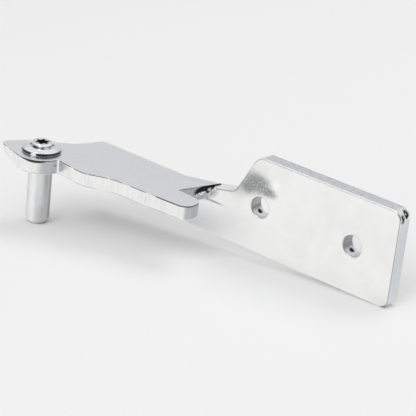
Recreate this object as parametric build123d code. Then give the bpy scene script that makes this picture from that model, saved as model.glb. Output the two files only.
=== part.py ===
from build123d import *
import math
import os

# A door hinge for a fridge: one folded and pressed sheet-steel bracket with one headed pin riveted in it.
# Millimetres, +Z up. The origin lies on the back face of the mounting plate, halfway between the two
# screw holes. +X runs along the plate to its free end and -Y points away from the cabinet.

# Sheet
sheet = 4.0              # thickness of the steel
fold_inside = 0.6        # radius inside the fold
fold_thinning = 0.6      # the fold is drawn a little thinner than the sheet
fold_fade = 10.0         # over this length the outside of the fold sharpens towards the tear
fold_end_outside = 0.3   # outside radius that is left there
edge_roll = 0.45         # rounding that the blanking tool leaves on the inner side of the fold

# Mounting plate, seen from the front, with heights from the line of the screws
hole_spacing = 29.3
hole_diameter = 5.5
hole_lip = 0.4           # rounding of the holes' front rims
hole_to_end = 12.6       # from the outer hole to the plate's free end
plate_above = 13.45
plate_below = 12.75
plate_corner = 2.6
hole_to_slope = 2.4      # from the inner hole to the top of the sloped end, along the plate
slope_lean = 28.0        # degrees from upright
slope_top_corner = 4.0
slope_foot_corner = 3.0
shoulder_height = 1.35   # above the arm's top face
shoulder_fall = 1.9      # the shoulder falls this much on its way to the arm

# Torn gap between the plate and the arm
arm_to_slope = 8.7       # from the arm's end to the foot of the slope
tear_opening = 5.1       # from the arm's end to the torn edge, level with the shoulder
tear_root = 1.2          # the torn edge runs out this far under the arm's end
tear_skew = 1.9          # the torn edge runs this much askew through the sheet
tear_bulge = 0.6         # the torn edge bows towards the arm by this much, halfway down
tear_teeth = 6
tear_depth = 0.25
tear_unevenness = 0.4    # how much shallower some teeth are
tear_rhythm = 2.3        # radians from one tooth to the next, for which are shallow

# Arm, seen from above
arm_level = 0.45         # top face of the arm, above the line of the screws
arm_length = 37.7        # along the fold
arm_end_lean = 2.6       # the cut end of the arm slants by this much
notch_depth = 13.3       # from the back face to the tab's back edge
notch_corner = 0.4
tab_width = 6.6
tab_reach = 9.1          # from the notch to the end of the tab
tab_back_lean = 0.7
tab_corner = 2.9
front_lean = 1.4         # the front edge drifts outwards along its straight stretch
front_straight = 24.4    # length of the straight stretch
swell = 3.45             # the front edge swings out by this much
swell_run = 7.6
swell_start_corner = 11.0
swell_end_corner = 7.0
flange_corner = 3.0

# Boss, pin and pointed end
boss_from_hole = 59.95   # from the inner screw hole to the middle of the boss, along the plate
boss_from_notch = 10.0   # from the tab's back edge to the middle of the boss
boss_radius = 7.2
cusp_corner = 0.8
point_ahead = 11.9       # the pointed end lies this far beyond the boss's middle
point_out = 4.1          # and this far in front of it
point_corner = 2.0
bevel_bite = 0.5         # the bevel under the pointed end reaches this far into the boss
bevel_heading = 27.0     # degrees that the bevel faces away from straight ahead
bevel_rise = 48.0        # degrees from level
back_edge_knee = (7.3, 3.5)      # bend in the back edge, from the boss's middle
back_edge_heel = (2.1, 10.9)     # where the back edge turns to the fold, from the boss's middle
knee_corner = 14.0
heel_corner = 7.0

# Pin
pin_ahead = 0.6          # from the boss's middle, away from the plate
pin_back = 0.8           # and towards the back face
pin_diameter = 6.5
seat_diameter = 7.2      # thicker stretch, pressed into the arm
pin_free_length = 17.0   # below the arm
pin_tip_corner = 2.0
seat_fit = 0.02          # radial clearance of the seat in the arm
head_diameter = 10.8
head_thickness = 0.95
head_edge = 0.3
cone_height = 0.4
cone_diameter = 6.9
collar_diameter = 5.8
collar_height = 0.95
collar_corner = 0.3
recess_diameter = 3.9
recess_depth = 1.5
recess_lobes = 6
recess_lobe_radius = 0.55

slack = 0.01             # how far from a face an edge may be found

# Sizes that follow
fold_outside = sheet + fold_inside + fold_thinning
inner_hole_x = -hole_spacing / 2
outer_hole_x = hole_spacing / 2
plate_end = outer_hole_x + hole_to_end
slope_top_x = inner_hole_x - hole_to_slope
shoulder_top = arm_level + shoulder_height
slope_foot_x = slope_top_x - (plate_above - shoulder_top) * math.tan(math.radians(slope_lean))
arm_end = slope_foot_x - arm_to_slope
arm_underside = arm_level - sheet
arm_start = arm_end - arm_length
fold_line = arm_level - fold_outside
end_slant = arm_end_lean / (notch_depth - fold_outside)
tear_top_x = arm_end + tear_opening
boss_x = inner_hole_x - boss_from_hole
boss_y = -notch_depth - boss_from_notch
pin_x = boss_x - pin_ahead
pin_y = boss_y + pin_back


def smooth_outline(corners):
    """Closed face from corners given as (x, y, radius)."""
    points = [(x, y) for x, y, radius in corners]
    radii = [radius for x, y, radius in corners]
    return make_face(FilletPolyline(*points, radius=radii, close=True))


def tear():
    """Cutter for the ragged gap, wide at the front face and closed at the back."""
    top = Vector(tear_top_x, shoulder_top)
    root = Vector(arm_end - tear_root, arm_underside)
    along = root - top
    across = Vector(-along.Y, along.X).normalized()
    points = []
    for tooth in range(1, tear_teeth + 1):
        way = tooth / (tear_teeth + 1)
        shallower = tear_unevenness * (1 - math.cos(tear_rhythm * tooth))
        depth = tear_depth * (1 - shallower) * (-1) ** tooth - tear_bulge * math.sin(math.pi * way)
        point = top + along * way + across * depth
        points.append((point.X, point.Y))
    clear = arm_end - arm_length
    outline = Polyline((top.X, top.Y), *points, (root.X, root.Y), (clear, root.Y), (clear, top.Y), close=True)
    face = Plane.XZ.offset(sheet) * make_face(outline)
    through = Vector(-tear_skew, sheet, 0)
    return extrude(face, amount=through.length, dir=through)


def cut_end_x(y):
    """Where the arm's slanted cut end lies, at this place in front of the back face."""
    return arm_end + (y + fold_outside) * end_slant


def end_block(reach, low):
    """Block from the arm's cut end, reaching this far along the plate, up from a height."""
    near, far = -2 * fold_outside, sheet
    side = arm_end + reach
    outline = Polyline((cut_end_x(near), near), (cut_end_x(far), far), (side, far), (side, near), close=True)
    return Pos(0, 0, low) * extrude(make_face(outline), amount=plate_above - low)


def hole_rims(body):
    """Rims of the screw holes on the front of the plate."""
    front = body.edges().filter_by_position(Axis.Y, -sheet - slack, -sheet + slack)
    round_edges = front.filter_by(GeomType.CIRCLE)
    return round_edges.filter_by(lambda edge: abs(edge.radius - hole_diameter / 2) < slack)


def wall_rims(body):
    """Rolled edges on the front of the wall, without the ones at the fold and the arm's end."""
    front = body.edges().filter_by_position(Axis.Y, -sheet - slack, -sheet + slack)
    top, side = fold_line - slack, arm_end + slack
    return front.filter_by(lambda edge: edge.center().Z < top or edge.center().X > side)


def wall():
    """Mounting plate and the flange that runs on from it below the arm, standing upright."""
    corners = [
        (plate_end, -plate_below, plate_corner),
        (plate_end, plate_above, plate_corner),
        (slope_top_x, plate_above, slope_top_corner),
        (slope_foot_x, shoulder_top, slope_foot_corner),
        (arm_end, shoulder_top - shoulder_fall, 0),
        (arm_end, fold_line, 0),
        (arm_start, fold_line, 0),
        (arm_start, -plate_below, flange_corner),
    ]
    body = extrude(Plane.XZ * smooth_outline(corners), amount=sheet)
    body = fillet(wall_rims(body), edge_roll)
    for x in (inner_hole_x, outer_hole_x):
        body -= Pos(x, -sheet / 2, 0) * Rot(90, 0, 0) * Cylinder(hole_diameter / 2, 2 * sheet)
    body = fillet(hole_rims(body), hole_lip)
    return body - end_block(-2 * sheet, arm_underside) - tear()


def outside_waste(radius, x):
    """What rounding takes off the outside of the fold, in a section across it."""
    arc = CenterArc((-radius, -radius), radius, 0, 90)
    rim = Polyline(arc @ 1, (-radius, sheet), (sheet, sheet), (sheet, -radius), arc @ 0)
    return Pos(0, 0, arm_level) * (Plane.YZ.offset(x) * make_face([arc, rim]))


def fold():
    """Quarter turn that joins the flange to the arm."""
    corner = [(-fold_outside, -sheet), (-sheet, -sheet), (-sheet, -fold_outside)]
    inner = FilletPolyline(*corner, radius=fold_inside)
    outer = Polyline(inner @ 1, (0, -fold_outside), (0, 0), (-fold_outside, 0), inner @ 0)
    section = Pos(0, 0, arm_level) * (Plane.YZ.offset(arm_start) * make_face([inner, outer]))
    fade_start = cut_end_x(0) - fold_fade
    fade_end = cut_end_x(sheet)
    block = extrude(section, amount=fade_end - arm_start)
    block -= extrude(outside_waste(fold_outside, arm_start), amount=fade_start - arm_start)
    fading = [outside_waste(fold_outside, fade_start), outside_waste(fold_end_outside, fade_end)]
    return block - loft(fading, ruled=True) - end_block(2 * sheet, fold_line - sheet)


def tangent_point(point, centre, radius):
    """Where the line from a point touches a circle, on the circle's front side."""
    away = Vector(*point) - Vector(*centre)
    turn = math.acos(radius / away.length)
    angle = math.atan2(away.Y, away.X) + turn
    return (centre[0] + radius * math.cos(angle), centre[1] + radius * math.sin(angle))


def arm_outline():
    """Arm seen from above, with the tab, the round boss and the pointed end."""
    tab_end = arm_end - arm_end_lean + tab_reach
    front_start = -notch_depth - tab_back_lean - tab_width
    swell_start = tab_end - front_straight
    swell_corner = (swell_start - swell_run, front_start - front_lean - swell)
    point = (boss_x - point_ahead, boss_y - point_out)
    touch = tangent_point(point, (boss_x, boss_y), boss_radius)
    corners = [
        (arm_end, -fold_outside, 0),
        (arm_end - arm_end_lean, -notch_depth, notch_corner),
        (tab_end, -notch_depth - tab_back_lean, tab_corner),
        (tab_end, front_start, tab_corner),
        (swell_start, front_start - front_lean, swell_start_corner),
        (*swell_corner, swell_end_corner),
        (boss_x, boss_y, 0),
        (*touch, 0),
        (*point, point_corner),
        (boss_x - back_edge_knee[0], boss_y + back_edge_knee[1], knee_corner),
        (boss_x + back_edge_heel[0], boss_y + back_edge_heel[1], heel_corner),
        (arm_start, -fold_outside, 0),
    ]
    middle = Vector(boss_x, boss_y)
    outline = smooth_outline(corners) + Pos(middle) * Circle(boss_radius)
    towards = (Vector(*swell_corner) - middle).normalized()
    cusp = outline.vertices().sort_by_distance(middle + towards * boss_radius)[0]
    return fillet(cusp, cusp_corner)


def arm_rims(body):
    """Rolled edges under the arm, without the ones at the fold and the cut end."""
    under = body.edges().filter_by_position(Axis.Z, arm_underside - slack, arm_underside + slack)
    under = under.filter_by(lambda edge: edge.center().Y < -fold_outside - slack)
    cut_end = arm_end - arm_end_lean
    return under.filter_by(lambda edge: edge.center().Y < -notch_depth or edge.center().X < cut_end)


def arm():
    """Flat arm, hanging from its top face."""
    body = Pos(0, 0, arm_level) * extrude(arm_outline(), amount=-sheet)
    return fillet(arm_rims(body), edge_roll)


def point_bevel():
    """Cutter for the slope under the front of the pointed end."""
    heading = math.radians(bevel_heading)
    outward = Vector(-math.sin(heading), -math.cos(heading), 0)
    foot = Vector(boss_x, boss_y, arm_underside) + outward * (boss_radius - bevel_bite)
    reach = point_ahead
    top = reach * math.tan(math.radians(bevel_rise))
    plane = Plane(origin=foot, x_dir=outward, z_dir=outward.cross(Vector(0, 0, 1)))
    section = make_face(Polyline((0, 0), (reach, top), (reach, -sheet), (0, -sheet), close=True))
    return extrude(plane * section, amount=2 * point_ahead, both=True)


def bracket():
    """The whole folded sheet, with the hole for the pin's seat."""
    body = wall() + fold() + arm() - point_bevel()
    return body - Pos(pin_x, pin_y, arm_level) * Cylinder(seat_diameter / 2 + seat_fit, 4 * sheet)


def recess_shape():
    """Lobed recess in the pin's head, seen from above."""
    shape = Circle(recess_diameter / 2 - recess_lobe_radius)
    lobes = PolarLocations(recess_diameter / 2 - recess_lobe_radius, recess_lobes)
    return shape + lobes * Circle(recess_lobe_radius)


def hinge_pin():
    """Straight pin with a round tip and a flanged head on top of the arm."""
    pin_radius = pin_diameter / 2
    tip = -sheet - pin_free_length
    cone_top = head_thickness + cone_height
    head_top = cone_top + collar_height
    corners = [
        (0, tip, 0),
        (pin_radius, tip, pin_tip_corner),
        (pin_radius, -sheet, 0),
        (seat_diameter / 2, -sheet, 0),
        (seat_diameter / 2, 0, 0),
        (head_diameter / 2, 0, 0),
        (head_diameter / 2, head_thickness, head_edge),
        (cone_diameter / 2, cone_top, 0),
        (collar_diameter / 2, cone_top, 0),
        (collar_diameter / 2, head_top - collar_corner, 0),
        (collar_diameter / 2 - collar_corner, head_top, 0),
        (0, head_top, 0),
    ]
    body = revolve(Plane.XZ * smooth_outline(corners), Axis.Z)
    body -= Pos(0, 0, head_top - recess_depth) * extrude(recess_shape(), amount=2 * recess_depth)
    return Pos(pin_x, pin_y, arm_level) * body


os.makedirs("parts", exist_ok=True)
export_step(bracket(), "parts/bracket.step")
export_step(hinge_pin(), "parts/hinge_pin.step")
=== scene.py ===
import math
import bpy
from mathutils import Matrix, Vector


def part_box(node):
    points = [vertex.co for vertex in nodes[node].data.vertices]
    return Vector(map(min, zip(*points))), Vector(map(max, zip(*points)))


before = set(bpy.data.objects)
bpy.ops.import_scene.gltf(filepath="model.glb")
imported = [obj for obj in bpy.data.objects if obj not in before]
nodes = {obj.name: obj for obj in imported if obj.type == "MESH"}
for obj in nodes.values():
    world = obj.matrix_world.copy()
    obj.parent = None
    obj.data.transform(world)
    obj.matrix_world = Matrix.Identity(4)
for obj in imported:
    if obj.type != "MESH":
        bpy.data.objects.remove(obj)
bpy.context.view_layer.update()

from types import SimpleNamespace
import bmesh
import bpy
from mathutils import Matrix, Vector

# A fridge door hinge of zinc-plated steel: a folded bracket and a riveted pin, lying on a pale table.
# Blender works in metres. Patterns are laid out in millimetres, from the point on the plate's back face
# midway between its screw holes: x runs along the plate, y towards its back and z up.

mm = 0.001
# white for painted highlights, black for painted shade, shadows and dark reflections on the sheet and on the
# pin, and a grey for painted shade and for real streaks and specks
highlightWhite = (1.0, 1.0, 1.0, 1)
paintedShade = (0.02, 0.02, 0.02, 1)
pinPaintedShade = (0.02, 0.02, 0.022, 1)
shadeAndMarkGrey = (0.42, 0.43, 0.45, 1)
noTurn = (0, 0, 0)


# small helpers for node trees

def addNode(tree, kind, **settings):
    node = tree.nodes.new("ShaderNode" + kind)
    for name, value in settings.items():
        setattr(node, name, value)
    return node


def feed(tree, socket, value):
    if isinstance(value, bpy.types.NodeSocket):
        tree.links.new(value, socket)
    else:
        socket.default_value = value


def calc(tree, operation, *values):
    node = addNode(tree, "Math", operation=operation)
    for socket, value in zip(node.inputs, values):
        feed(tree, socket, value)
    return node.outputs[0]


def overlap(tree, first, *others):
    # 1 only where all masks are 1
    for other in others:
        first = calc(tree, "MULTIPLY", first, other)
    return first


def fade(tree, value, start, end):
    # 0 at start and 1 at end, with a soft step between them
    node = addNode(tree, "MapRange", interpolation_type="SMOOTHSTEP")
    feed(tree, node.inputs["Value"], value)
    node.inputs["From Min"].default_value = start
    node.inputs["From Max"].default_value = end
    return node.outputs["Result"]


def blendColours(tree, factor, first, second, kind="MIX"):
    # sockets 6 and 7 take the two colours
    node = addNode(tree, "Mix", data_type="RGBA", blend_type=kind)
    feed(tree, node.inputs[0], factor)
    feed(tree, node.inputs[6], first)
    feed(tree, node.inputs[7], second)
    return node.outputs[2]


def paint(tree, colour, mask, tint, share=1.0):
    # lays so much of the tint over the colour where the mask is 1
    return blendColours(tree, calc(tree, "MULTIPLY", mask, share), colour, tint)


def colourRamp(tree, value, stops):
    node = addNode(tree, "ValToRGB")
    elements = node.color_ramp.elements
    for number, (position, colour) in enumerate(stops):
        element = elements[number] if number < len(elements) else elements.new(position)
        element.position = position
        element.color = colour
    feed(tree, node.inputs[0], value)
    return node.outputs[0]


def noise(tree, place, scale, detail=2.0, roughness=0.5, stretch=(1, 1, 1)):
    mapping = addNode(tree, "Mapping")
    feed(tree, mapping.inputs["Vector"], place)
    mapping.inputs["Scale"].default_value = stretch
    node = addNode(tree, "TexNoise")
    tree.links.new(mapping.outputs[0], node.inputs["Vector"])
    node.inputs["Scale"].default_value = scale
    node.inputs["Detail"].default_value = detail
    node.inputs["Roughness"].default_value = roughness
    return node.outputs["Fac"]


def patches(tree, place, between, **pattern):
    # noise cut into patches: 0 up to the first limit and 1 from the second
    return fade(tree, noise(tree, place, **pattern), *between)


def millimetres(tree):
    # where a point is on the hinge, in millimetres
    coordinates = addNode(tree, "TexCoord")
    mapping = addNode(tree, "Mapping")
    tree.links.new(coordinates.outputs["Object"], mapping.inputs["Vector"])
    mapping.inputs["Scale"].default_value = (1 / mm, 1 / mm, 1 / mm)
    return mapping.outputs[0]


def parts(tree, vector):
    node = addNode(tree, "SeparateXYZ")
    tree.links.new(vector, node.inputs[0])
    return node.outputs[0], node.outputs[1], node.outputs[2]


def readSurface(tree):
    # where a point is on the hinge, and which way its face looks
    at = SimpleNamespace(place=millimetres(tree))
    at.along, at.out, at.up = parts(tree, at.place)
    facing = addNode(tree, "TexCoord").outputs["Normal"]
    at.facingAlong, at.facingOut, at.facingUp = parts(tree, facing)
    return at


def spot(tree, place, centre, size, turn=noTurn, soft=1.0):
    # 1 in the middle of an egg-shaped spot and 0 outside it, with the turn in degrees
    mapping = addNode(tree, "Mapping", vector_type="TEXTURE")
    feed(tree, mapping.inputs["Vector"], place)
    mapping.inputs["Location"].default_value = centre
    mapping.inputs["Rotation"].default_value = [math.radians(angle) for angle in turn]
    mapping.inputs["Scale"].default_value = size
    length = addNode(tree, "VectorMath", operation="LENGTH")
    tree.links.new(mapping.outputs[0], length.inputs[0])
    return fade(tree, length.outputs["Value"], 1.0, 1.0 - soft)


# effects that both steels share

sharedEffects = {
    "grainDetail": 3.0,
    "patchDetail": 4.0,
    "patchTwist": 0.6,
    "patchLimits": (0.3, 0.7),
    "hairs": {"scale": 1.4, "detail": 1.0},
    "hairWays": (((8, 4, 0), (0.05, 1.6, 1.6)), ((0, 40, 25), (0.07, 2.1, 2.1))),    # turn and stretch
    "hairThickness": (0.012, 0.002),
    "hairAreas": {"between": (0.52, 0.66), "scale": 0.22, "detail": 1.0},
    "edgeAngle": (0.995, 0.9),      # how alike the true and the rounded normal are, off an edge and on it
    "edgeBreaks": (0.35, 0.6),
    "edgeSamples": 6,
    "roundSamples": 8,
}


def roundedNormal(tree, radius):
    node = addNode(tree, "Bevel", samples=sharedEffects["roundSamples"])
    node.inputs["Radius"].default_value = radius
    return node.outputs[0]


def bumpy(tree, normal, height, strength, depth):
    node = addNode(tree, "Bump")
    node.inputs["Strength"].default_value = strength
    node.inputs["Distance"].default_value = depth
    feed(tree, node.inputs["Height"], height)
    tree.links.new(normal, node.inputs["Normal"])
    return node.outputs[0]


def newGroup(name, inputs, outputs):
    tree = bpy.data.node_groups.new(name, "ShaderNodeTree")
    for label, kind in inputs:
        tree.interface.new_socket(label, in_out="INPUT", socket_type="NodeSocket" + kind)
    for label in outputs:
        tree.interface.new_socket(label, in_out="OUTPUT", socket_type="NodeSocketFloat")
    start = tree.nodes.new("NodeGroupInput")
    end = tree.nodes.new("NodeGroupOutput")
    return tree, start.outputs, end.inputs


def makeSatinGrain():
    # fine grain of the plating, soft patches in its tone, and hair-thin scratches
    inputs = (("Place", "Vector"), ("Grain", "Float"), ("Patch", "Float"))
    tree, given, result = newGroup("satinGrain", inputs, ("Grain", "Patch", "Scratches"))
    grain = addNode(tree, "TexNoise")
    tree.links.new(given["Place"], grain.inputs["Vector"])
    tree.links.new(given["Grain"], grain.inputs["Scale"])
    grain.inputs["Detail"].default_value = sharedEffects["grainDetail"]
    tree.links.new(grain.outputs["Fac"], result["Grain"])
    patch = addNode(tree, "TexNoise")
    tree.links.new(given["Place"], patch.inputs["Vector"])
    tree.links.new(given["Patch"], patch.inputs["Scale"])
    patch.inputs["Detail"].default_value = sharedEffects["patchDetail"]
    patch.inputs["Distortion"].default_value = sharedEffects["patchTwist"]
    tree.links.new(fade(tree, patch.outputs["Fac"], *sharedEffects["patchLimits"]), result["Patch"])
    area = patches(tree, given["Place"], **sharedEffects["hairAreas"])
    total = 0.0
    for turn, stretch in sharedEffects["hairWays"]:
        turned = addNode(tree, "Mapping")
        tree.links.new(given["Place"], turned.inputs["Vector"])
        turned.inputs["Rotation"].default_value = [math.radians(angle) for angle in turn]
        hairs = noise(tree, turned.outputs[0], stretch=stretch, **sharedEffects["hairs"])
        fromMiddle = calc(tree, "ABSOLUTE", calc(tree, "SUBTRACT", hairs, 0.5))
        thin = fade(tree, fromMiddle, *sharedEffects["hairThickness"])
        total = calc(tree, "MAXIMUM", overlap(tree, thin, area), total)
    tree.links.new(total, result["Scratches"])
    return tree


def makeEdgeWear():
    # 1 along the edges, where handling has rubbed the plating bright
    inputs = (("Place", "Vector"), ("Width", "Float"), ("Breaks", "Float"))
    tree, given, result = newGroup("edgeWear", inputs, ("Wear",))
    rounded = addNode(tree, "Bevel", samples=sharedEffects["edgeSamples"])
    tree.links.new(given["Width"], rounded.inputs["Radius"])
    surface = addNode(tree, "NewGeometry")
    alike = addNode(tree, "VectorMath", operation="DOT_PRODUCT")
    tree.links.new(rounded.outputs[0], alike.inputs[0])
    tree.links.new(surface.outputs["Normal"], alike.inputs[1])
    edge = fade(tree, alike.outputs["Value"], *sharedEffects["edgeAngle"])
    broken = addNode(tree, "TexNoise")
    tree.links.new(given["Place"], broken.inputs["Vector"])
    tree.links.new(given["Breaks"], broken.inputs["Scale"])
    gaps = fade(tree, broken.outputs["Fac"], *sharedEffects["edgeBreaks"])
    tree.links.new(overlap(tree, edge, gaps), result["Wear"])
    return tree


def useGroup(tree, group, **values):
    node = addNode(tree, "Group", node_tree=group)
    for name, value in values.items():
        feed(tree, node.inputs[name], value)
    return node.outputs


satinGrain = makeSatinGrain()
edgeWear = makeEdgeWear()
print("shared effects built")


# white zinc on the folded sheet. Each tint is a colour and how much of it covers the plating. Where no note
# says otherwise, a pair of numbers is where a mask begins and where it is full, by place or by how far a
# face looks along, out or up. Each spot has its centre and size, and some have a turn and a softness too.

plating = {
    "light": (0.96, 0.96, 0.95, 1),
    "dull": (0.91, 0.912, 0.915, 1),
    "satin": {"Grain": 4.5, "Patch": 0.11},
    "wear": {"Width": 0.35 * mm, "Breaks": 0.9},
    "speckle": {"between": (0.25, 0.75), "scale": 2.6, "detail": 4.0, "roughness": 0.7},
    "speckleTint": ((0.62, 0.63, 0.65, 1), 0.10),
    "scratchTint": ((0.45, 0.46, 0.48, 1), 0.15),
    "wornTint": ((0.97, 0.97, 0.96, 1), 0.5),
}


def paintPlating(tree, at, satin, wear):
    colour = blendColours(tree, satin["Patch"], plating["light"], plating["dull"])
    speckle = patches(tree, at.place, **plating["speckle"])
    colour = paint(tree, colour, speckle, *plating["speckleTint"])
    colour = paint(tree, colour, satin["Scratches"], *plating["scratchTint"])
    return paint(tree, colour, wear, *plating["wornTint"])


# faces across the arm's thickness, which the blanking tool sheared, with painted shade on those that look
# towards the arm's end

shearedFaces = {
    "streaks": {"between": (0.42, 0.62), "scale": 1.0, "detail": 3.0, "stretch": (1.6, 1.6, 0.16)},
    "streakTint": (shadeAndMarkGrey, 0.10),
    "towardsEnd": (0.5, 0.8),
    "endTint": (shadeAndMarkGrey, 0.85),
    "arm": (-5.1, -5.3),            # the flat arm begins here, in front of the fold
    "upright": (0.6, 0.3),
}


def paintSheared(tree, at, armSide, colour):
    streaks = patches(tree, at.place, **shearedFaces["streaks"])
    colour = paint(tree, colour, overlap(tree, armSide, streaks), *shearedFaces["streakTint"])
    # painted shade on the faces that look towards the arm's end
    towardsEnd = fade(tree, at.facingAlong, *shearedFaces["towardsEnd"])
    return paint(tree, colour, overlap(tree, armSide, towardsEnd), *shearedFaces["endTint"])


# speckled top edge of the plate, and a painted dark reflection down the rounding at the front of its end

plateEdges = {
    "along": (-23.0, -22.0),        # clear of the tear
    "out": (-4.2, -4.1),            # from the plate's front face backwards
    "top": (0.8, 0.95),
    "specks": {"between": (0.42, 0.58), "scale": 2.4, "detail": 3.0, "roughness": 0.75,
               "stretch": (0.8, 1, 1)},
    "speckTint": (shadeAndMarkGrey, 0.4),
    "lineFrom": (0.25, 0.4),        # the line lies on this part of the rounding
    "lineTo": (0.8, 0.65),
    "lineFront": (-0.4, -0.55),
    "lineTint": (paintedShade, 0.6),
}


def paintPlateEdges(tree, at, colour):
    onPlate = overlap(tree, fade(tree, at.along, *plateEdges["along"]),
                      fade(tree, at.out, *plateEdges["out"]))
    specks = overlap(tree, patches(tree, at.place, **plateEdges["specks"]), onPlate,
                     fade(tree, at.facingUp, *plateEdges["top"]))
    colour = paint(tree, colour, specks, *plateEdges["speckTint"])
    # painted dark reflection on the rounding down the front of the plate's end
    line = overlap(tree, fade(tree, at.facingAlong, *plateEdges["lineFrom"]),
                   fade(tree, at.facingAlong, *plateEdges["lineTo"]),
                   fade(tree, at.facingOut, *plateEdges["lineFront"]), onPlate)
    return paint(tree, colour, line, *plateEdges["lineTint"])


# painted dark reflection in a line just under the arm's top edge, on its burr side, and painted shade in a
# fainter line along its lower edge

edgeLines = {
    "top": 0.45,                    # height of the arm's top face
    "height": 0.18,                 # of the line below it
    "soft": (-0.06, 0.02),
    "breaks": {"between": (0.36, 0.46), "scale": 0.4},
    "tint": (paintedShade, 0.95),
    "bossFront": ((-71.2, -29.4, 0.45), (4.6, 4.2, 3.0), noTurn, 0.9),
    "bossHeight": 0.62,             # so much higher there
    "bossWhole": (0.0, 0.3),        # and it has no breaks
    "tab": (-36.0, -35.0),          # nor from the tab to the tear
    "tabHeight": 0.12,
    "lower": (-2.95, -3.25),
    "lowerBreaks": {"between": (0.42, 0.55), "scale": 0.25},
    "lowerTint": (shadeAndMarkGrey, 0.6),
}


def paintEdgeLines(tree, at, armSide, colour):
    atBoss = spot(tree, at.place, *edgeLines["bossFront"])
    atTab = fade(tree, at.along, *edgeLines["tab"])
    height = calc(tree, "MULTIPLY_ADD", atBoss, edgeLines["bossHeight"], edgeLines["height"])
    height = calc(tree, "MULTIPLY_ADD", atTab, edgeLines["tabHeight"], height)
    reach = calc(tree, "ADD", calc(tree, "SUBTRACT", at.up, edgeLines["top"]), height)
    whole = calc(tree, "MAXIMUM", fade(tree, atBoss, *edgeLines["bossWhole"]), atTab)
    unbroken = calc(tree, "MAXIMUM", patches(tree, at.place, **edgeLines["breaks"]), whole)
    line = overlap(tree, fade(tree, reach, *edgeLines["soft"]), armSide, unbroken)
    # painted dark reflection along the top edge
    colour = paint(tree, colour, line, *edgeLines["tint"])
    # painted shade along the lower edge
    lower = overlap(tree, armSide, fade(tree, at.up, *edgeLines["lower"]),
                    patches(tree, at.place, **edgeLines["lowerBreaks"]))
    return paint(tree, colour, lower, *edgeLines["lowerTint"])


# duller bores with painted shade: grey in their upper part, darker on the left, and a black spot low in each

bores = {
    "along": (-14.65, 14.65),       # x of the two middles
    "radius": (2.85, 2.8),
    "boreShadeUp": (-1.8, -0.8),
    "boreShadeTint": ((0.76, 0.77, 0.79, 1), 1.0),
    "leftAlong": (-0.6, -2.2),      # from the middle of the bore
    "leftUp": (-2.1, -1.2),
    "leftNoise": {"scale": 0.9, "detail": 3.0},
    "leftRagged": 1.4,
    "leftTint": ((0.44, 0.45, 0.46, 1), 1.0),
    "spots": ((-16.2, -1.5, -2.2), (13.2, -1.6, -2.3)),
    "spotSize": (1.1, 1.0, 0.9),
    "spotSoft": 0.6,
}


def paintBores(tree, at, colour):
    inBores = 0.0
    uneven = noise(tree, at.place, **bores["leftNoise"])
    leftUp = fade(tree, at.up, *bores["leftUp"])
    for middle in bores["along"]:
        shift = calc(tree, "SUBTRACT", at.along, middle)
        square = calc(tree, "MULTIPLY_ADD", shift, shift, calc(tree, "MULTIPLY", at.up, at.up))
        inside = fade(tree, calc(tree, "SQRT", square), *bores["radius"])
        inBores = calc(tree, "MAXIMUM", inside, inBores)
        # painted shade on the upper part of the bore
        bright = overlap(tree, inside, fade(tree, at.up, *bores["boreShadeUp"]))
        colour = paint(tree, colour, bright, *bores["boreShadeTint"])
        # deeper painted shade on its left side
        ragged = calc(tree, "MULTIPLY_ADD", uneven, bores["leftRagged"], shift)
        left = overlap(tree, inside, fade(tree, ragged, *bores["leftAlong"]), leftUp)
        colour = paint(tree, colour, left, *bores["leftTint"])
    # painted black shadow low in each bore
    for centre in bores["spots"]:
        black = spot(tree, at.place, centre, bores["spotSize"], soft=bores["spotSoft"])
        colour = paint(tree, colour, black, paintedShade)
    return colour, inBores


# marks on the sheet: a chip and a scratch that handling has left, a dent, and painted light and shade: shade
# under the tear and along the crease, a highlight, a contact shadow and dark reflections on the upper corner

marks = {
    # a shallow dent in the plate, painted with a mottled dark reflection
    "dentReflection": (((-16.2, -4.0, 6.1), (7.1, 2.4, 4.6), (0, 4, 0)),
               ((-12.9, -4.0, 4.9), (4.9, 2.0, 2.5), (0, 4, 0)),
               ((-18.6, -4.0, 4.6), (4.6, 2.4, 3.2), (0, -20, 0))),
    "dentReflectionEdge": (0.0, 0.85),
    "dentReflectionMottle": (0.3, 0.62),
    "dentReflectionTint": ((0.20, 0.207, 0.205, 1), 0.85),
    "tearShade": ((-30.0, -4.0, -1.7), (3.0, 1.0, 1.3), (0, -44, 0)),
    "tearShadeTint": ((0.60, 0.60, 0.66, 1), 1.0),
    # painted shade along the crease
    "crease": ((-29.8, -4.0, -3.6), (5.2, 1.0, 0.5)),
    "creaseTint": ((0.22, 0.22, 0.23, 1), 0.8),
    "chip": ((-67.7, -24.9, -1.1), (0.5, 0.5, 0.3), (0, 20, 0), 0.5),
    "chipTint": ((0.20, 0.20, 0.21, 1), 1.0),
    "scratch": ((-38.6, -20.9, -1.7), (0.22, 1.6, 1.5), (0, 14, 0)),
    "scratchTint": ((0.30, 0.30, 0.31, 1), 0.6),
    # a painted highlight beside the dent
    "paintedHighlight": ((-10.4, -4.0, 7.7), (2.3, 1.4, 1.8)),
    "paintedHighlightTint": (highlightWhite, 1.0),
    "contactShadow": ((25.9, -3.4, -12.5), (1.9, 1.9, 0.8), (0, -22, 0)),     # painted contact shadow where the plate touches the table
    "contactShadowTint": (paintedShade, 0.8),
    # painted dark reflections on the plate's upper corner, broken into patches
    "cornerReflections": (((26.7, -1.3, 12.3), (0.8, 1.1, 1.9), (0, -32, 0), 0.5),
                    ((27.0, -3.0, 11.4), (0.7, 1.1, 1.4), (0, -10, 0), 0.5)),
    "reflectionBreaks": {"between": (0.38, 0.5), "scale": 1.3, "detail": 3.0, "stretch": (1, 1.6, 0.7)},
}


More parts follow.
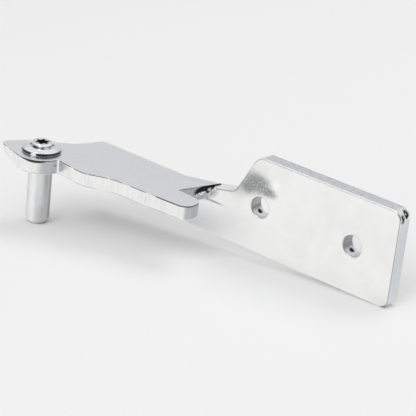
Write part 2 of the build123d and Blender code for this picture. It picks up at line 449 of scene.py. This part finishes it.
def paintMarks(tree, at, mottle, colour):
    # painted dark reflection in the dent
    dentReflection = 0.0
    for shape in marks["dentReflection"]:
        dentReflection = calc(tree, "MAXIMUM", spot(tree, at.place, *shape), dentReflection)
    dentReflection = overlap(tree, fade(tree, dentReflection, *marks["dentReflectionEdge"]),
                     fade(tree, mottle, *marks["dentReflectionMottle"]))
    colour = paint(tree, colour, dentReflection, *marks["dentReflectionTint"])
    for name in ("tearShade", "crease", "chip", "scratch", "paintedHighlight", "contactShadow"):
        colour = paint(tree, colour, spot(tree, at.place, *marks[name]), *marks[name + "Tint"])
    # painted dark reflections on the upper corner, broken into patches
    reflectionBreaks = patches(tree, at.place, **marks["reflectionBreaks"])
    for shape in marks["cornerReflections"]:
        colour = paint(tree, colour, overlap(tree, spot(tree, at.place, *shape), reflectionBreaks), paintedShade)
    return colour, dentReflection


# the arm's slanted cut end, painted grey as shade, and black as deeper shade towards the fold

cutEnd = {
    "point": (-31.96, -5.2),        # x and y of a point on it
    "slant": 0.321,                 # how far it leans for each millimetre towards the back
    "reach": (0.12, 0.06),
    "facing": (0.5, 0.8),
    "tint": (shadeAndMarkGrey, 0.6),
    "blackOut": (-7.7, -6.6),
    "outRagged": 2.4,
    "blackUp": (-1.4, -0.9),
    "upRagged": 1.2,
    "topPoint": (-8.6, -0.6),       # y and z of a point on the black part's upper limit
    "topSlope": 0.4,
    "topSoft": (0.25, -0.1),
}


def paintCutEnd(tree, at, mottle, colour):
    endX, endY = cutEnd["point"]
    topY, topZ = cutEnd["topPoint"]
    end = calc(tree, "MULTIPLY_ADD", calc(tree, "SUBTRACT", at.out, endY), cutEnd["slant"], endX)
    away = calc(tree, "ABSOLUTE", calc(tree, "SUBTRACT", at.along, end))
    onEnd = overlap(tree, fade(tree, away, *cutEnd["reach"]), fade(tree, at.facingAlong, *cutEnd["facing"]))
    # painted shade over the cut end
    colour = paint(tree, colour, onEnd, *cutEnd["tint"])
    raggedOut = calc(tree, "MULTIPLY_ADD", mottle, cutEnd["outRagged"], at.out)
    raggedUp = calc(tree, "MULTIPLY_ADD", mottle, cutEnd["upRagged"], at.up)
    top = calc(tree, "MULTIPLY_ADD", calc(tree, "SUBTRACT", at.out, topY), cutEnd["topSlope"], topZ)
    # deeper painted black shade towards the fold
    black = overlap(tree, onEnd, fade(tree, raggedOut, *cutEnd["blackOut"]),
                    fade(tree, raggedUp, *cutEnd["blackUp"]),
                    fade(tree, calc(tree, "SUBTRACT", at.up, top), *cutEnd["topSoft"]))
    return paint(tree, colour, black, paintedShade)


# the torn edge beside the arm: rough, painted black as shade, and specked with painted white highlights

tear = {
    "low": (-33.4, -4.15, -1.9),    # corners of the box that it lies in
    "high": (-26.4, 0.1, 1.3),
    "facing": (-0.25, -0.4),
    "lips": (((-30.2, -4.0, -0.05), (2.6, 1.2, 0.72), (0, -31, 0), 0.5),
             ((-32.4, -6.4, -1.7), (1.2, 2.5, 0.55), (12, 0, 0), 0.5)),
    "glints": {"between": (0.41, 0.47), "scale": 3.0, "roughness": 0.6},
    "glintMetal": -0.8,             # the painted highlights are so much less metallic
}


def paintTear(tree, at, colour):
    torn = fade(tree, at.facingAlong, *tear["facing"])
    for value, low, high in zip((at.along, at.out, at.up), tear["low"], tear["high"]):
        above = calc(tree, "GREATER_THAN", value, low)
        torn = overlap(tree, torn, above, calc(tree, "LESS_THAN", value, high))
    rugged = torn
    for shape in tear["lips"]:
        rugged = calc(tree, "MAXIMUM", rugged, spot(tree, at.place, *shape))
    glints = patches(tree, at.place, **tear["glints"])
    # painted black shade with painted white highlights
    colour = blendColours(tree, rugged, colour, blendColours(tree, glints, paintedShade, highlightWhite))
    return colour, torn, overlap(tree, rugged, glints)


# how rough the sheet is: the plain value, and how much each kind of place adds to it

sheetRoughness = {
    "plain": 0.16,
    "patches": 0.07,
    "armTop": 0.08,
    "softRim": 0.25,                # on the roundings along the plate's upper edges
    "dentReflection": 0.2,
    "raw": 0.2,                     # on the torn edge and in the bores
    "worn": -0.05,
    "topFacing": (0.9, 0.98),
    "rimFrom": (0.15, 0.3),         # the roundings begin at upright faces
    "rimTo": (0.98, 0.85),          # and end at level ones
}


def roughenSheet(tree, at, satin, wear, onArm, dentReflection, raw):
    armTop = overlap(tree, onArm, fade(tree, at.facingUp, *sheetRoughness["topFacing"]))
    softRim = overlap(tree, fade(tree, at.facingUp, *sheetRoughness["rimFrom"]),
                      fade(tree, at.facingUp, *sheetRoughness["rimTo"]),
                      fade(tree, at.out, *plateEdges["out"]))
    rough = sheetRoughness["plain"]
    masks = {"patches": satin["Patch"], "armTop": armTop, "dentReflection": dentReflection, "raw": raw, "worn": wear,
             "softRim": softRim}
    for name, mask in masks.items():
        rough = calc(tree, "MULTIPLY_ADD", mask, sheetRoughness[name], rough)
    return rough


# rounded edges, fine grain, and the coarse grain of the torn edge

sheetRelief = {
    "edgeRound": 0.2 * mm,
    "grain": (0.2, 0.004 * mm),     # strength and depth
    "scratches": -0.15,
    "torn": (0.8, 0.25 * mm),       # strength and depth
    "dentReflection": 0.25,                 # share of the torn edge's bumps that the dent has
    "mottle": {"scale": 2.0, "detail": 5.0, "roughness": 0.8},
}


def makeWhiteZinc():
    material = bpy.data.materials.new("whiteZinc")
    material.use_nodes = True
    tree = material.node_tree
    shader = tree.nodes["Principled BSDF"]
    at = readSurface(tree)
    satin = useGroup(tree, satinGrain, Place=at.place, **plating["satin"])
    wear = useGroup(tree, edgeWear, Place=at.place, **plating["wear"])["Wear"]
    mottle = noise(tree, at.place, **sheetRelief["mottle"])
    onArm = fade(tree, at.out, *shearedFaces["arm"])
    level = calc(tree, "ABSOLUTE", at.facingUp)
    armSide = overlap(tree, onArm, fade(tree, level, *shearedFaces["upright"]))

    colour = paintPlating(tree, at, satin, wear)
    colour = paintSheared(tree, at, armSide, colour)
    colour = paintPlateEdges(tree, at, colour)
    colour = paintEdgeLines(tree, at, armSide, colour)
    colour, inBores = paintBores(tree, at, colour)
    colour, dentReflection = paintMarks(tree, at, mottle, colour)
    colour = paintCutEnd(tree, at, mottle, colour)
    colour, torn, glints = paintTear(tree, at, colour)
    feed(tree, shader.inputs["Base Color"], colour)
    feed(tree, shader.inputs["Metallic"], calc(tree, "MULTIPLY_ADD", glints, tear["glintMetal"], 1.0))

    raw = calc(tree, "MAXIMUM", torn, inBores)
    feed(tree, shader.inputs["Roughness"], roughenSheet(tree, at, satin, wear, onArm, dentReflection, raw))

    fine = calc(tree, "MULTIPLY_ADD", satin["Scratches"], sheetRelief["scratches"], satin["Grain"])
    coarse = calc(tree, "MAXIMUM", torn, calc(tree, "MULTIPLY", dentReflection, sheetRelief["dentReflection"]))
    normal = roundedNormal(tree, sheetRelief["edgeRound"])
    normal = bumpy(tree, normal, fine, *sheetRelief["grain"])
    normal = bumpy(tree, normal, overlap(tree, coarse, mottle), *sheetRelief["torn"])
    tree.links.new(normal, shader.inputs["Normal"])
    return material


# brighter plating on the turned pin, with its values written as the sheet's are

pinFinish = {
    "light": (0.95, 0.955, 0.955, 1),
    "dull": (0.86, 0.865, 0.88, 1),
    "satin": {"Grain": 6.0, "Patch": 0.3},
    "wear": {"Width": 0.25 * mm, "Breaks": 1.4},
    "wornTint": ((0.97, 0.97, 0.97, 1), 0.4),
    "rings": {"scale": 1.0, "detail": 3.0, "stretch": (0.15, 0.15, 7.0)},
    "ringTint": ((0.60, 0.60, 0.62, 1), 0.12),
    "roughness": 0.15,
    "patchRoughness": 0.06,
    "headRoughness": -0.06,         # so much smoother on the head
    "edgeRound": 0.12 * mm,
    "grain": (0.3, 0.004 * mm),     # strength and depth
    "hammered": (0.9, 0.22 * mm),   # strength and depth
    "hammerNoise": {"scale": 0.5, "detail": 1.0},
    "middle": (-75.2, -22.5),       # x and y
}


# painted light and shade on the shank: lighter on one side and darker on the other, with painted shade round
# the tip's rim and a painted contact shadow where the tip touches the table

shankTones = {
    "across": (0.768, 0.640),       # x and y of the way from its painted light side to its painted shade side
    "radius": 3.25,
    "tones": ((0.0, 0.58), (0.07, 0.84), (0.19, 1.0), (0.32, 1.0), (0.43, 0.80), (0.60, 0.77), (0.70, 0.70),
              (0.88, 0.70), (0.98, 0.26)),      # how far across, and the tone there
    "blue": 1.01,                   # how much more blue than red there is in each tone
    "shadeUp": (-12.0, -18.0),      # the darker side gets more painted shade between these heights
    "shadeSide": (-1.5, 1.5),
    "shadeTint": ((0.50, 0.50, 0.52, 1), 0.45),
    "rimUp": (-19.3, -20.4),
    "rimTint": (pinPaintedShade, 0.35),
    "paintedShade": ((-72.7, -22.0, -20.2), (1.5, 2.0, 1.5)),
    "paintedShadeTint": (pinPaintedShade, 0.85),
}


def paintShank(tree, at, onHead, awayAlong, awayOut, colour):
    acrossAlong, acrossOut = shankTones["across"]
    turned = calc(tree, "MULTIPLY_ADD", awayAlong, acrossAlong, calc(tree, "MULTIPLY", awayOut, acrossOut))
    # painted shade low on the darker side
    shaded = overlap(tree, fade(tree, at.up, *shankTones["shadeUp"]),
                     fade(tree, turned, *shankTones["shadeSide"]))
    colour = paint(tree, colour, shaded, *shankTones["shadeTint"])
    # painted light and shade across the shank
    share = calc(tree, "MULTIPLY_ADD", turned, 0.5 / shankTones["radius"], 0.5)     # from 0 to 1 across it
    blue = shankTones["blue"]
    stops = [(position, (tone, tone, tone * blue, 1)) for position, tone in shankTones["tones"]]
    toned = blendColours(tree, 1.0, colour, colourRamp(tree, share, stops), "MULTIPLY")
    colour = blendColours(tree, calc(tree, "SUBTRACT", 1.0, onHead), colour, toned)
    # painted shade round the tip's rim, and a painted contact shadow where the tip touches the table
    colour = paint(tree, colour, fade(tree, at.up, *shankTones["rimUp"]), *shankTones["rimTint"])
    return paint(tree, colour, spot(tree, at.place, *shankTones["paintedShade"]), *shankTones["paintedShadeTint"])


# painted dark reflection on the flange's rim, broken where the rim shows light, and painted shade in the
# recess and round the collar's foot

headShade = {
    "headUp": (0.40, 0.50),         # heights between which the head begins
    "uneven": {"scale": 0.42, "detail": 3.0, "roughness": 0.6},
    "rimFrom": (0.45, 0.55),
    "rimTo": (1.35, 1.10),
    "rimFacing": (0.6, 0.3),
    "rimGaps": (0.1, 0.3),
    "rimBreaks": (((-73.3, -28.2, 0.9), (1.7, 1.6, 1.2)), ((-70.0, -18.6, 0.9), (1.6, 2.2, 1.2))),
    "rimTint": (pinPaintedShade, 0.95),
    "recessRadius": (2.03, 1.93),
    "recessUp": (2.70, 2.50),
    "recessPatchLimits": (0.6, 0.7),
    "recessDark": ((-73.9, -22.2, 2.0), (2.0, 1.7, 1.8), noTurn, 0.5),
    "recessLeast": 0.5,             # it is at least so darkly shaded all over
    "footFrom": (2.8, 2.9),         # distance from the pin's middle
    "footTo": (3.4, 3.1),
    "footUp": (2.35, 2.15),
    "footGaps": {"between": (0.40, 0.50), "scale": 0.9},
    "footTint": (pinPaintedShade, 0.9),
}


def paintHead(tree, at, onHead, away, colour):
    uneven = noise(tree, at.place, **headShade["uneven"])
    rimBreaks = calc(tree, "MAXIMUM", *[spot(tree, at.place, *shape) for shape in headShade["rimBreaks"]])
    # painted dark reflection on the flange's rim
    rim = overlap(tree, onHead, fade(tree, at.up, *headShade["rimTo"]),
                  fade(tree, at.up, *headShade["rimFrom"]), fade(tree, at.facingUp, *headShade["rimFacing"]),
                  fade(tree, calc(tree, "SUBTRACT", uneven, rimBreaks), *headShade["rimGaps"]))
    colour = paint(tree, colour, rim, *headShade["rimTint"])
    # painted shade in the recess
    recessDarkPatches = calc(tree, "MAXIMUM", fade(tree, uneven, *headShade["recessPatchLimits"]),
                  spot(tree, at.place, *headShade["recessDark"]))
    recess = overlap(tree, fade(tree, away, *headShade["recessRadius"]),
                     fade(tree, at.up, *headShade["recessUp"]), onHead,
                     calc(tree, "MAXIMUM", recessDarkPatches, headShade["recessLeast"]))
    colour = paint(tree, colour, recess, pinPaintedShade)
    # painted shade round the collar's foot
    foot = overlap(tree, fade(tree, away, *headShade["footFrom"]), fade(tree, away, *headShade["footTo"]),
                   patches(tree, at.place, **headShade["footGaps"]),
                   fade(tree, at.up, *headShade["footUp"]), onHead)
    return paint(tree, colour, foot, *headShade["footTint"])


def makeTurnedZinc():
    material = bpy.data.materials.new("turnedZinc")
    material.use_nodes = True
    tree = material.node_tree
    shader = tree.nodes["Principled BSDF"]
    shader.inputs["Metallic"].default_value = 1.0
    at = readSurface(tree)
    satin = useGroup(tree, satinGrain, Place=at.place, **pinFinish["satin"])
    wear = useGroup(tree, edgeWear, Place=at.place, **pinFinish["wear"])["Wear"]
    rings = noise(tree, at.place, **pinFinish["rings"])
    onHead = fade(tree, at.up, *headShade["headUp"])
    middleAlong, middleOut = pinFinish["middle"]
    awayAlong = calc(tree, "SUBTRACT", at.along, middleAlong)
    awayOut = calc(tree, "SUBTRACT", at.out, middleOut)
    square = calc(tree, "MULTIPLY_ADD", awayAlong, awayAlong, calc(tree, "MULTIPLY", awayOut, awayOut))

    colour = blendColours(tree, satin["Patch"], pinFinish["light"], pinFinish["dull"])
    colour = paint(tree, colour, rings, *pinFinish["ringTint"])
    colour = paint(tree, colour, wear, *pinFinish["wornTint"])
    colour = paintShank(tree, at, onHead, awayAlong, awayOut, colour)
    colour = paintHead(tree, at, onHead, calc(tree, "SQRT", square), colour)
    feed(tree, shader.inputs["Base Color"], colour)

    rough = calc(tree, "MULTIPLY_ADD", onHead, pinFinish["headRoughness"], pinFinish["roughness"])
    rough = calc(tree, "MULTIPLY_ADD", satin["Patch"], pinFinish["patchRoughness"], rough)
    feed(tree, shader.inputs["Roughness"], rough)

    waves = overlap(tree, onHead, noise(tree, at.place, **pinFinish["hammerNoise"]))
    normal = roundedNormal(tree, pinFinish["edgeRound"])
    normal = bumpy(tree, normal, calc(tree, "ADD", satin["Grain"], rings), *pinFinish["grain"])
    normal = bumpy(tree, normal, waves, *pinFinish["hammered"])
    tree.links.new(normal, shader.inputs["Normal"])
    return material


nodes["bracket"].material_slots[0].material = makeWhiteZinc()
nodes["hinge_pin"].material_slots[0].material = makeTurnedZinc()
print("both steels finished")


# the table it lies on: the pin's tip and the plate's lower corner touch it

table = {
    "halfSize": 3.0,
    "tipReach": 1.4 * mm,           # from the pin's middle to where its tip touches
    "cornerInset": 2.4 * mm,        # from the plate's end to where its corner touches
    "light": (0.93, 0.93, 0.93, 1),
    "dim": (0.915, 0.915, 0.915, 1),
    "patchScale": 0.4,
    "inMetal": (0.96, 0.955, 0.94, 1),
    "inMetalShare": 0.6,            # how much of the table is plain bright where metal reflects it
    "inMetalDim": (0.51, 0.53, 0.57, 1),        # painted shade dims it in the two spots below, in millimetres
    "underArm": ((-48.0, -14.0, -17.0), (24.0, 20.0, 30.0)),
    "behindEnd": ((46.0, 24.0, -13.0), (40.0, 46.0, 30.0), noTurn, 0.5),
}


def makePaleTable():
    material = bpy.data.materials.new("paleTable")
    material.use_nodes = True
    tree = material.node_tree
    tree.nodes.clear()
    place = millimetres(tree)
    paper = addNode(tree, "BsdfDiffuse")
    patchy = noise(tree, place, table["patchScale"])
    feed(tree, paper.inputs["Color"], blendColours(tree, patchy, table["light"], table["dim"]))
    # painted shade in what the metal mirrors, under the arm and beyond the plate's end
    dimmer = calc(tree, "MAXIMUM", spot(tree, place, *table["underArm"]),
                  spot(tree, place, *table["behindEnd"]))
    glow = addNode(tree, "Emission")
    feed(tree, glow.inputs["Color"], blendColours(tree, dimmer, table["inMetal"], table["inMetalDim"]))
    path = addNode(tree, "LightPath")
    mirrored = addNode(tree, "MixShader")
    share = calc(tree, "MULTIPLY", path.outputs["Is Glossy Ray"], table["inMetalShare"])
    feed(tree, mirrored.inputs[0], share)
    tree.links.new(paper.outputs[0], mirrored.inputs[1])
    tree.links.new(glow.outputs[0], mirrored.inputs[2])
    result = addNode(tree, "OutputMaterial")
    tree.links.new(mirrored.outputs[0], result.inputs["Surface"])
    return material


def makeTable():
    pinLow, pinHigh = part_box("hinge_pin")
    plateLow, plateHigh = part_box("bracket")
    tip = Vector(((pinLow.x + pinHigh.x) / 2 + table["tipReach"], 0, pinLow.z))
    corner = Vector((plateHigh.x - table["cornerInset"], 0, plateLow.z))
    lean = math.atan2(corner.z - tip.z, corner.x - tip.x)
    mesh = bpy.data.meshes.new("table")
    shape = bmesh.new()
    bmesh.ops.create_grid(shape, x_segments=1, y_segments=1, size=table["halfSize"])
    place = Matrix.Translation(tip) @ Matrix.Rotation(-lean, 4, "Y")
    bmesh.ops.transform(shape, matrix=place, verts=shape.verts)
    shape.to_mesh(mesh)
    shape.free()
    piece = bpy.data.objects.new("table", mesh)
    bpy.context.scene.collection.objects.link(piece)
    mesh.materials.append(makePaleTable())


makeTable()


# soft light: a bright ceiling that darkens towards the horizon and in front, and two large lamps

studio = {
    "strength": 0.88,
    "ceiling": (1.0, 1.0, 1.0, 1),
    "wall": (0.71, 0.725, 0.76, 1),
    "horizon": (0.02, 0.02, 0.025, 1),
    "heights": ((0.0, "horizon"), (0.10, "horizon"), (0.27, "wall"), (0.45, "wall"), (0.62, "ceiling")),
    "haze": (0.88, 0.88, 0.89, 1),      # brighter horizon behind the hinge, on the left
    "hazeAlong": (0.25, 0.0),
    "hazeBehind": (0.0, 0.3),
    "hazeBelow": (0.28, 0.18),
    "front": (0.61, -0.79, 0.0),        # towards the dark side of the room
    "frontSpread": (0.55, 0.75),
    "frontDark": (0.25, 0.25, 0.26, 1),
    "soft": (0.45, 0.45, 0.453, 1),     # the room as matt surfaces see it
    "softFront": (1.16, 1.16, 1.165, 1),        # and its brighter part, high in front
    "brightFrom": (0.35, -0.72, 0.60),
    "brightSpread": (0.1, 0.95),
    "backdrop": (0.89, 0.89, 0.89, 1),
    # name, place, size, power, and whether metal mirrors it: the arm's top would mirror the overhead one
    "lamps": (("overhead", (0.02, 0.46, 0.95), 0.6, 2.5, False),
              ("front", (0.0, -0.7, 0.7), 0.45, 1.7, True)),
}


def aimedAt(tree, direction, target, spread):
    # 1 for directions that point at the target
    node = addNode(tree, "VectorMath", operation="DOT_PRODUCT")
    tree.links.new(direction, node.inputs[0])
    node.inputs[1].default_value = target
    return fade(tree, node.outputs["Value"], *spread)


def mirroredRoom(tree, direction):
    along, behind, up = parts(tree, direction)
    room = colourRamp(tree, up, [(height, studio[name]) for height, name in studio["heights"]])
    hazy = overlap(tree, fade(tree, along, *studio["hazeAlong"]), fade(tree, behind, *studio["hazeBehind"]),
                   fade(tree, up, *studio["hazeBelow"]))
    room = blendColours(tree, hazy, room, studio["haze"])
    darkSide = aimedAt(tree, direction, studio["front"], studio["frontSpread"])
    return blendColours(tree, darkSide, room, studio["frontDark"])


def makeWorld():
    world = bpy.data.worlds.new("studio")
    bpy.context.scene.world = world
    world.use_nodes = True
    tree = world.node_tree
    tree.nodes.clear()
    direction = addNode(tree, "TexCoord").outputs["Generated"]
    path = addNode(tree, "LightPath")
    bright = aimedAt(tree, direction, studio["brightFrom"], studio["brightSpread"])
    matt = blendColours(tree, bright, studio["soft"], studio["softFront"])
    colour = blendColours(tree, path.outputs["Is Glossy Ray"], matt, mirroredRoom(tree, direction))
    light = addNode(tree, "Background")
    tree.links.new(colour, light.inputs["Color"])
    light.inputs["Strength"].default_value = studio["strength"]
    backdrop = addNode(tree, "Background")
    backdrop.inputs["Color"].default_value = studio["backdrop"]
    seen = addNode(tree, "MixShader")
    tree.links.new(path.outputs["Is Camera Ray"], seen.inputs[0])
    tree.links.new(light.outputs[0], seen.inputs[1])
    tree.links.new(backdrop.outputs[0], seen.inputs[2])
    result = addNode(tree, "OutputWorld")
    tree.links.new(seen.outputs[0], result.inputs["Surface"])


def makeLamps():
    for name, place, size, power, mirrored in studio["lamps"]:
        lamp = bpy.data.lights.new(name, "AREA")
        lamp.shape = "SQUARE"
        lamp.size = size
        lamp.energy = power
        holder = bpy.data.objects.new(name, lamp)
        bpy.context.scene.collection.objects.link(holder)
        holder.location = place
        holder.visible_glossy = mirrored
        holder.rotation_euler = Vector(place).to_track_quat("Z", "Y").to_euler()


makeWorld()
makeLamps()
print("table and light set")


# the photographer's view: a long lens that looks down at the front, placed in the hinge's own frame

photoView = {
    "place": (0.2216, -0.33596, 0.17404),
    "right": (0.76395, 0.63721, 0.10168),
    "up": (-0.32677, 0.24615, 0.91249),
    "lens": 149.0,
    "film": 36.0,
    "near": 0.01,
    "far": 20.0,
}


def makeCamera():
    lens = bpy.data.cameras.new("photoView")
    lens.lens = photoView["lens"]
    lens.sensor_width = photoView["film"]
    lens.clip_start = photoView["near"]
    lens.clip_end = photoView["far"]
    camera = bpy.data.objects.new("photoView", lens)
    bpy.context.scene.collection.objects.link(camera)
    right = Vector(photoView["right"]).normalized()
    back = right.cross(Vector(photoView["up"])).normalized()
    turn = Matrix((right, back.cross(right), back)).transposed().to_4x4()
    camera.matrix_world = Matrix.Translation(photoView["place"]) @ turn
    bpy.context.scene.camera = camera


makeCamera()
bpy.context.scene.view_settings.view_transform = "Standard"

print("ready")
